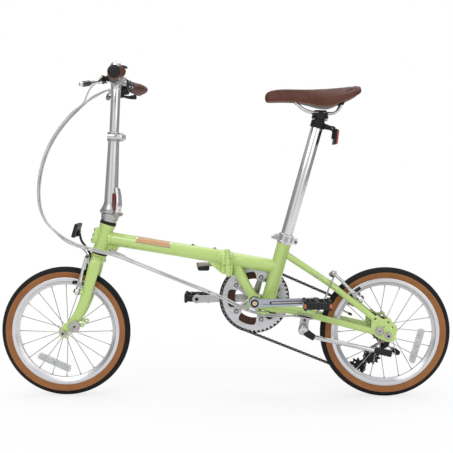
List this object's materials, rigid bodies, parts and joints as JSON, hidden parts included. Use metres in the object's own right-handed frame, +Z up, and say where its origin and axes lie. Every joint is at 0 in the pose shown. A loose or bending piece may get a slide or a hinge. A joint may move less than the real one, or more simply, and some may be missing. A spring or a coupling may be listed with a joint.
{
  "type": "folding bicycle",
  "caption": "Small-wheeled folding bicycle with a hinged main tube, folding handlebar post, rim brakes, guarded chain drive with rear derailleur, and a kickstand.",
  "frame": {"origin": "on the ground, midway between the two wheel axles' ends of the bounding box, in the wheels' middle plane", "axes": "+Z up, -X towards the front wheel, +Y towards the rider's right, which is the chain side"},
  "size_m": [1.2894, 0.5848, 0.9472],
  "materials": {
    "frame_paint": "gloss light green paint",
    "polished_alloy": "polished bright alloy",
    "rim_alloy": "bright machined alloy",
    "drive_steel": "bright plated steel",
    "tyre_rubber": "black tread with tan sidewall",
    "brown_saddle_cover": "satin brown cover",
    "brown_grip": "soft brown grip",
    "guard_plastic": "dark brown guard",
    "cable_jacket": "light grey housing",
    "black_plastic": "black moulded plastic",
    "black_metal": "black painted metal",
    "clear_lens": "clear prismatic lens in a clear body",
    "red_lens": "red prismatic lens"
  },
  "bodies": {
    "rear_frame": {"rear_frame": "frame_paint", "frame_hinge_pin": "drive_steel", "bottom_bracket": "drive_steel", "rear_axle": "drive_steel", "seat_clamp": "polished_alloy", "rear_derailleur": "polished_alloy", "chain": "drive_steel", "rear_cables": "cable_jacket"},
    "front_frame": {"front_frame": "frame_paint", "headset_upper": "drive_steel", "headset_lower": "drive_steel", "frame_cables": "cable_jacket", "brace_wire_front": "drive_steel"},
    "frame_latch": {"frame_latch_lever": "polished_alloy"},
    "steerer": {"fork": "polished_alloy", "handlepost_base": "polished_alloy", "front_axle": "drive_steel", "front_reflector": "clear_lens", "fork_brake_cable": "cable_jacket"},
    "front_brake_left": {"front_brake_arm_left": "polished_alloy"},
    "front_brake_right": {"front_brake_arm_right": "polished_alloy"},
    "front_wheel": {"front_tyre": "tyre_rubber", "front_rim": "rim_alloy", "front_hub_and_spokes": "polished_alloy"},
    "handlepost": {"handlepost_lower": "polished_alloy"},
    "handlepost_latch": {"handlepost_latch_lever": "polished_alloy"},
    "height_clamp": {"height_clamp_lever": "polished_alloy"},
    "handlebars": {"handlepost_upper": "polished_alloy", "handlebar": "polished_alloy", "grip_left": "brown_grip", "grip_right": "brown_grip", "brake_perch_left": "black_plastic", "brake_perch_right": "black_plastic", "shifter": "black_plastic", "bell": "black_metal", "handlebar_cables": "cable_jacket"},
    "left_lever": {"brake_lever_left": "polished_alloy"},
    "right_lever": {"brake_lever_right": "polished_alloy"},
    "shift_thumb_lever": {"shift_lever": "black_plastic"},
    "bell_hammer": {"bell_striker": "black_metal"},
    "rear_wheel": {"rear_tyre": "tyre_rubber", "rear_rim": "rim_alloy", "rear_hub_and_spokes": "polished_alloy"},
    "rear_brake_left": {"rear_brake_arm_left": "polished_alloy"},
    "rear_brake_right": {"rear_brake_arm_right": "polished_alloy"},
    "crankset": {"crank_right": "polished_alloy", "crank_left": "polished_alloy", "chainring": "polished_alloy", "chain_guard": "guard_plastic"},
    "left_pedal": {"pedal_left": "black_plastic"},
    "right_pedal": {"pedal_right": "black_plastic"},
    "freewheel_cogs": {"cassette": "drive_steel"},
    "upper_jockey": {"jockey_wheel_upper": "black_plastic"},
    "lower_jockey": {"jockey_wheel_lower": "black_plastic"},
    "kickstand": {"kickstand_leg": "polished_alloy"},
    "seat": {"seat_post": "polished_alloy", "saddle": "brown_saddle_cover", "saddle_rails": "drive_steel", "rear_reflector": "red_lens"},
    "seat_clamp_handle": {"seat_clamp_lever": "polished_alloy"}
  },
  "joints": [
    {"name": "frame_fold", "type": "hinge", "parent": "rear_frame", "child": "front_frame", "pos_m": [0.009, -0.038, 0.388], "axis": [-0.0436, 0, 0.999], "range_deg": [0, 156], "deforming": ["frame_cables", "brace_wire_front", "rear_cables"]},
    {"name": "frame_latch_turn", "type": "hinge", "parent": "front_frame", "child": "frame_latch", "pos_m": [-0.0095, 0.036, 0.388], "axis": [0, 0, -1], "range_deg": [0, 100]},
    {"name": "steering", "type": "hinge", "parent": "front_frame", "child": "steerer", "pos_m": [-0.3484, 0, 0.4544], "axis": [0.284, 0, 0.9588], "range_deg": [-45, 45], "deforming": ["fork_brake_cable"]},
    {"name": "front_brake_left_squeeze", "type": "hinge", "parent": "steerer", "child": "front_brake_left", "pos_m": [-0.41895, -0.04, 0.30425], "axis": [-0.9588, 0, 0.284], "range_deg": [0, 7]},
    {"name": "front_brake_right_squeeze", "type": "hinge", "parent": "steerer", "child": "front_brake_right", "pos_m": [-0.41895, 0.04, 0.30425], "axis": [0.9588, 0, -0.284], "range_deg": [0, 7]},
    {"name": "front_wheel_spin", "type": "hinge", "parent": "steerer", "child": "front_wheel", "pos_m": [-0.45875, 0, 0.186], "axis": [0, 1, 0], "continuous": true},
    {"name": "handlepost_fold", "type": "hinge", "parent": "steerer", "child": "handlepost", "pos_m": [-0.34757, 0.01909, 0.52597], "axis": [-0.7062, -0.7071, 0.0358], "range_deg": [0, 160]},
    {"name": "handlepost_latch_turn", "type": "hinge", "parent": "handlepost", "child": "handlepost_latch", "pos_m": [-0.30378, -0.02475, 0.52375], "axis": [0.7062, 0.7071, -0.0358], "range_deg": [0, 60]},
    {"name": "height_clamp_turn", "type": "hinge", "parent": "handlepost", "child": "height_clamp", "pos_m": [-0.28746, -0.014, 0.7422], "axis": [0.0506, 0, 0.9987], "range_deg": [0, 110]},
    {"name": "handlebar_height", "type": "slide", "parent": "handlepost", "child": "handlebars", "axis": [0.0506, 0, 0.9987], "range_m": [-0.11, 0.02], "deforming": ["handlebar_cables"]},
    {"name": "brake_lever_left_pull", "type": "hinge", "parent": "handlebars", "child": "left_lever", "pos_m": [-0.334, -0.148, 0.889], "axis": [0.3192, 0, 0.9477], "range_deg": [0, 16]},
    {"name": "brake_lever_right_pull", "type": "hinge", "parent": "handlebars", "child": "right_lever", "pos_m": [-0.334, 0.148, 0.889], "axis": [-0.3192, 0, -0.9477], "range_deg": [0, 16]},
    {"name": "shift_lever_push", "type": "hinge", "parent": "handlebars", "child": "shift_thumb_lever", "pos_m": [-0.3012, 0.118, 0.871], "axis": [0.0499, 0, 0.9988], "range_deg": [-60, 10]},
    {"name": "bell_striker_flick", "type": "hinge", "parent": "handlebars", "child": "bell_hammer", "pos_m": [-0.2796, -0.088, 0.929], "axis": [0, 1, 0], "range_deg": [0, 25], "stiffness_Nm_per_rad": 0.02},
    {"name": "rear_wheel_spin", "type": "hinge", "parent": "rear_frame", "child": "rear_wheel", "pos_m": [0.45875, 0, 0.186], "axis": [0, 1, 0], "continuous": true},
    {"name": "rear_brake_left_squeeze", "type": "hinge", "parent": "rear_frame", "child": "rear_brake_left", "pos_m": [0.384, -0.041, 0.285], "axis": [-0.6561, 0, -0.7547], "range_deg": [0, 7]},
    {"name": "rear_brake_right_squeeze", "type": "hinge", "parent": "rear_frame", "child": "rear_brake_right", "pos_m": [0.384, 0.041, 0.285], "axis": [0.6561, 0, 0.7547], "range_deg": [0, 7]},
    {"name": "crank_spin", "type": "hinge", "parent": "rear_frame", "child": "crankset", "pos_m": [0.0847, 0, 0.2755], "axis": [0, 1, 0], "continuous": true},
    {"name": "pedal_left_spin", "type": "hinge", "parent": "crankset", "child": "left_pedal", "pos_m": [0.25456, 0, 0.28232], "axis": [0, 1, 0], "continuous": true},
    {"name": "pedal_right_spin", "type": "hinge", "parent": "crankset", "child": "right_pedal", "pos_m": [-0.08516, 0, 0.26868], "axis": [0, 1, 0], "continuous": true},
    {"name": "cassette_spin", "type": "hinge", "parent": "rear_frame", "child": "freewheel_cogs", "pos_m": [0.45875, 0, 0.186], "axis": [0, 1, 0], "continuous": true},
    {"name": "jockey_upper_spin", "type": "hinge", "parent": "rear_frame", "child": "upper_jockey", "pos_m": [0.429, 0, 0.1066], "axis": [0, 1, 0], "continuous": true},
    {"name": "jockey_lower_spin", "type": "hinge", "parent": "rear_frame", "child": "lower_jockey", "pos_m": [0.3855, 0, 0.0769], "axis": [0, 1, 0], "continuous": true},
    {"name": "kickstand_swing", "type": "hinge", "parent": "rear_frame", "child": "kickstand", "pos_m": [0.222, -0.06, 0.202], "axis": [0.0501, 0.9314, 0.3605], "range_deg": [0, 75]},
    {"name": "seat_height", "type": "slide", "parent": "rear_frame", "child": "seat", "axis": [0.2689, 0, 0.9632], "range_m": [-0.27, 0.03]},
    {"name": "seat_clamp_turn", "type": "hinge", "parent": "rear_frame", "child": "seat_clamp_handle", "pos_m": [0.2021, 0.017, 0.444], "axis": [0.2689, 0, 0.9632], "range_deg": [-110, 0]}
  ],
  "couplings": [
    {"joint": "front_brake_left_squeeze", "follows": "brake_lever_left_pull", "ratio": 0.4375},
    {"joint": "front_brake_right_squeeze", "follows": "brake_lever_left_pull", "ratio": 0.4375},
    {"joint": "rear_brake_left_squeeze", "follows": "brake_lever_right_pull", "ratio": 0.4375},
    {"joint": "rear_brake_right_squeeze", "follows": "brake_lever_right_pull", "ratio": 0.4375},
    {"joint": "cassette_spin", "follows": "crank_spin", "ratio": 3.2},
    {"joint": "jockey_lower_spin", "follows": "crank_spin", "ratio": 4.3636},
    {"joint": "jockey_upper_spin", "follows": "crank_spin", "ratio": -4.3636}
  ]
}
